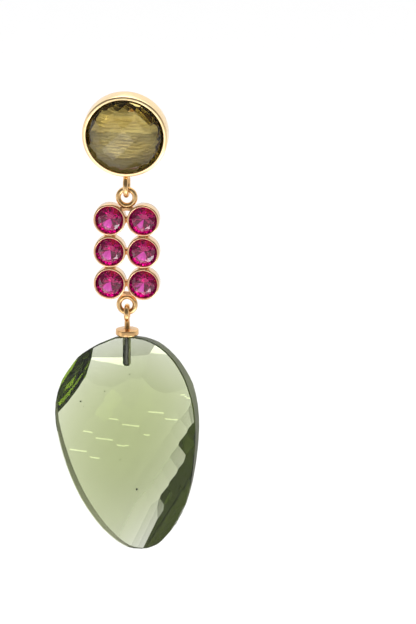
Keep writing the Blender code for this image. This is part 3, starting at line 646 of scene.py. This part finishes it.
# The sleeve's near-black colour is painted shade that keeps a highlight off the pin.
tint = use(glue_and_shade, plate_drift, Yellow=(0.075, 0.085, 0.045, 1), Rose=(0.03, 0.035, 0.02, 1),
           Patch_Scale=1800.0, Rose_Share=1.0)
tree.links.new(tint.outputs["Color"], shader.inputs["Base Color"])
tree.links.new(polish.outputs["Roughness"], shader.inputs["Roughness"])
bumpy(tree, shader, polish.outputs["Height"], 0.6, 0.02)

glue_profile = ([(0.12, -3.72), (0.27, -3.69), (0.38, -3.58), (0.455, -3.40), (0.455, -0.10)]
                + [(0.40, -0.06), (0.39, -0.10), (0.39, -3.36), (0.34, -3.52), (0.25, -3.62)]
                + [(0.10, -3.67)])
pin_glue_and_shade = turned("pin_glue_and_shade", glue_profile, 32)
place(pin_glue_and_shade, Matrix.Translation((0, mm(LINE_Y), mm(STONE_TOP))))
settle(pin_glue_and_shade, "drop", glue_and_shade)

# %% [markdown]
# ## Butterfly nut
# The nut is one strip of springy metal, pierced for the post, with both ends curled into
# scrolls. A flat strip is drawn, its ends are spun round in small steps, and then a Solidify
# gives the metal its thickness and a Bevel takes the sharpness off. Two rolled tubes on a
# plate could stand for it, but one strip keeps its thickness all the way round.

# %% Curl the strip
NUT_WIDTH, NUT_THICK, NUT_SCROLL, NUT_MIDDLE, LOBE_SPACE = 3.4, 0.30, 1.0, 1.67, 1.2
NUT_HOLE, DRILL_LENGTH, NUT_EDGE, NUT_CURL = 0.54, 1.2, 0.06, math.radians(265)
strip_height = -LOBE_SPACE - NUT_THICK / 2
deselect_all()
bpy.ops.mesh.primitive_plane_add(size=1, location=(0, 0, mm(strip_height)))
nut = bpy.context.object
nut.name = "butterfly_nut"
nut.scale = (mm(NUT_WIDTH), mm(2 * NUT_MIDDLE), 1)
bpy.ops.object.transform_apply(location=True, rotation=True, scale=True)
for side in (-1, 1):
    bpy.ops.object.mode_set(mode="EDIT")
    bpy.ops.mesh.select_all(action="DESELECT")
    bpy.ops.object.mode_set(mode="OBJECT")
    for edge in nut.data.edges:
        ends = [nut.data.vertices[v].co for v in edge.vertices]
        edge.select = all(abs(c.y - side * mm(NUT_MIDDLE)) < mm(0.01)
                          and abs(c.z - mm(strip_height)) < mm(0.01) for c in ends)
    bpy.ops.object.mode_set(mode="EDIT")
    bpy.ops.mesh.spin(steps=18, angle=NUT_CURL * -side, axis=(1, 0, 0),
                      center=(0, side * mm(NUT_MIDDLE), mm(strip_height - NUT_SCROLL)))
    bpy.ops.object.mode_set(mode="OBJECT")
print("nut strip:", len(nut.data.polygons), "faces")

# %% Give the nut its thickness, its hole and its soft edges
wall = nut.modifiers.new("thickness", "SOLIDIFY")
wall.thickness, wall.offset = mm(NUT_THICK), 0.0
bpy.ops.mesh.primitive_cylinder_add(vertices=32, radius=mm(NUT_HOLE), depth=mm(DRILL_LENGTH),
                                    location=(0, 0, mm(-LOBE_SPACE)))
drill = bpy.context.object
pierce = nut.modifiers.new("pierce", "BOOLEAN")
pierce.operation, pierce.object = "DIFFERENCE", drill
soft = nut.modifiers.new("soft_edges", "BEVEL")
soft.width, soft.segments, soft.limit_method = mm(NUT_EDGE), 2, "ANGLE"
soft.angle_limit = math.radians(50)
pick(nut)
for modifier in list(nut.modifiers):
    bpy.ops.object.modifier_apply(modifier=modifier.name)
bpy.data.objects.remove(drill)
place(nut, stud_place)
settle(nut, "nut", gold_plate, smooth=40, replaces=("ear_nut",))

# %% [markdown]
# ## Specks in the drop
# Natural quartz holds a few dark specks. Each one is a tiny crumb with an uneven surface,
# placed inside the stone a little behind its face, on the line of sight of a chosen pixel. A
# spotted texture could paint them on the surface, but these are seen through the facets.

# %% Dark specks
speck_finish, tree, shader = new_finish("dark_speck")
tint = use(speck_finish, plate_drift, Yellow=(0.03, 0.04, 0.015, 1), Rose=(0.01, 0.012, 0.006, 1),
           Patch_Scale=9000.0, Rose_Share=1.0)
tree.links.new(tint.outputs["Color"], shader.inputs["Base Color"])
polish = use(speck_finish, hand_polish, Smoothest=0.5, Roughest=0.8, Swirl_Scale=9000.0)
tree.links.new(polish.outputs["Roughness"], shader.inputs["Roughness"])
# Each speck is a pixel across, a pixel down and a radius in mm, at SPECK_Y mm.
SPECKS = ((81, 401, 0.11), (138, 488, 0.12), (105, 391, 0.06),
          (130, 374, 0.06), (121, 459, 0.05), (84, 406, 0.04))
SPECK_Y, SPECK_ROUGHNESS = -0.8, 0.25


def behind_pixel(x, y, depth):
    """The point, in metres, where a pixel's line of sight crosses Y = depth in mm."""
    direction = (aim - camera.location + (to_right * (x - PICTURE_WIDTH / 2)
                 - to_top * (y - PICTURE_HEIGHT / 2)) * METRES_PER_PIXEL)
    return camera.location + direction * ((mm(depth) - camera.location.y) / direction.y)


for number, (x, y, radius) in enumerate(SPECKS, start=1):
    deselect_all()
    bpy.ops.mesh.primitive_ico_sphere_add(subdivisions=2, radius=mm(radius),
                                          location=behind_pixel(x, y, SPECK_Y))
    speck = bpy.context.object
    speck.name = f"speck_{number}"
    bpy.ops.object.mode_set(mode="EDIT")
    bpy.ops.mesh.select_all(action="SELECT")
    bpy.ops.transform.vertex_random(offset=mm(radius) * SPECK_ROUGHNESS, seed=number)
    bpy.ops.object.mode_set(mode="OBJECT")
    settle(speck, "drop", speck_finish, smooth=60)

# %% [markdown]
# ## Studio
# The earring hangs in a white tent. Behind it everything is bright, so the stones glow; the
# camera's side is darker, so that the gold has something dark to mirror. The floor is plain
# and far enough below that no shadow shows. A panorama of a room could light it too, but it
# would be a file from outside, and a ramp from front to back needs none.

# %% Floor
FLOOR_Z, FLOOR_SIZE, FLOOR_MIDDLE_Y = -0.25, 16, -5
floor_finish, tree, shader = new_finish("floor_paper")
tint = use(floor_finish, plate_drift, Yellow=(0.90, 0.90, 0.90, 1), Rose=(0.88, 0.88, 0.88, 1),
           Patch_Scale=2.0, Rose_Share=1.0)
tree.links.new(tint.outputs["Color"], shader.inputs["Base Color"])
shader.inputs["Roughness"].default_value = 0.8
deselect_all()
bpy.ops.mesh.primitive_plane_add(size=FLOOR_SIZE, location=(0, FLOOR_MIDDLE_Y, FLOOR_Z))
floor = bpy.context.object
floor.name = "floor"
floor.data.materials.append(floor_finish)

# %% Tent of soft light
tent = bpy.data.worlds.new("white_tent")
bpy.context.scene.world = tent
tent.use_nodes = True
tree = tent.node_tree
tree.nodes.clear()
direction = add(tree, "ShaderNodeSeparateXYZ")
tree.links.new(add(tree, "ShaderNodeTexCoord").outputs["Generated"], direction.inputs[0])
away = remap(tree, direction.outputs["Y"], -1.0, 1.0, 0.0, 1.0)
ramp = add(tree, "ShaderNodeValToRGB")
tree.links.new(away, ramp.inputs[0])
TENT_FRONT, TENT_BACK = (0.36, 0.16), (0.66, 1.0)  # how far towards the back, and how bright
for stop, (at, shade) in zip(ramp.color_ramp.elements, (TENT_FRONT, TENT_BACK)):
    stop.position, stop.color = at, (shade, shade, shade, 1)
glow = add(tree, "ShaderNodeBackground")
tree.links.new(ramp.outputs[0], glow.inputs[0])
tree.links.new(glow.outputs[0], add(tree, "ShaderNodeOutputWorld").inputs[0])
print("tent ready")

# %% [markdown]
# ## Lamps
# Large panels of light soften the whole earring, and small ones are placed for the stones. A
# thin line behind the drop shows through its back facets as short dashes, and a flat strip
# behind and below shows as the bright band near its top. Two low fills in front light the
# facets that look down, and a card in front lights the foil in the stud. Glowing planes would
# do as well, but each would be one more mesh on the stage.

# %% A panel of light
def panel_light(name, where, toward, wide, high, radiance, roll=0):
    """A soft rectangle of light, in metres, as bright at each point as radiance says.

    It stands at where, looks toward a point and is rolled by so many degrees.
    """
    light = bpy.data.lights.new(name, "AREA")
    light.shape, light.size, light.size_y = "RECTANGLE", wide, high
    light.energy = radiance * math.pi * wide * high
    lamp = bpy.data.objects.new(name, light)
    bpy.context.collection.objects.link(lamp)
    lamp.location = where
    lamp.rotation_euler = (Vector(toward) - Vector(where)).to_track_quat("-Z", "Y").to_euler()
    lamp.rotation_euler.rotate_axis("Z", math.radians(roll))
    lamp.visible_camera = False


# %% Lamps
panel_light("top_softbox", (0.1, 0.3, 0.9), (0, 0, -0.025), 1.2, 1.2, 1.0)
panel_light("floor_light", (0, 1.6, -0.10), (0, 1.6, FLOOR_Z), 5.0, 2.8, 0.3)
panel_light("low_fill", (-0.045, -0.072, -0.120), (0, 0, -0.035), 0.07, 0.05, 1.6)
panel_light("right_fill", (0.052, -0.055, -0.100), (0, 0, -0.035), 0.06, 0.04, 5.0)
panel_light("stud_card", (-0.03, -0.255, -0.160), (0, 0, 0), 0.14, 0.08, 1.3)
panel_light("left_fill", (-0.27, -0.12, -0.06), (0, 0, -0.05), 0.16, 0.20, 0.6)
panel_light("line_light", (-0.014, 0.080, -0.0625), (-0.014, 0, -0.0625), 0.054, 0.00020, 0.7, 5)
panel_light("band_light", (-0.018, 0.1000, -0.10), (-0.018, 0.1010, 0), 0.064, 0.0045, 0.75, 7)
sun = bpy.data.lights.new("overcast_sky", "SUN")
sun.energy, sun.angle = 0.5, math.radians(50)
sky = bpy.data.objects.new("overcast_sky", sun)
bpy.context.collection.objects.link(sky)
sky.rotation_euler = (math.radians(-12), math.radians(-10), 0)
bpy.context.scene.view_settings.view_transform = "Standard"
print("lamps ready")
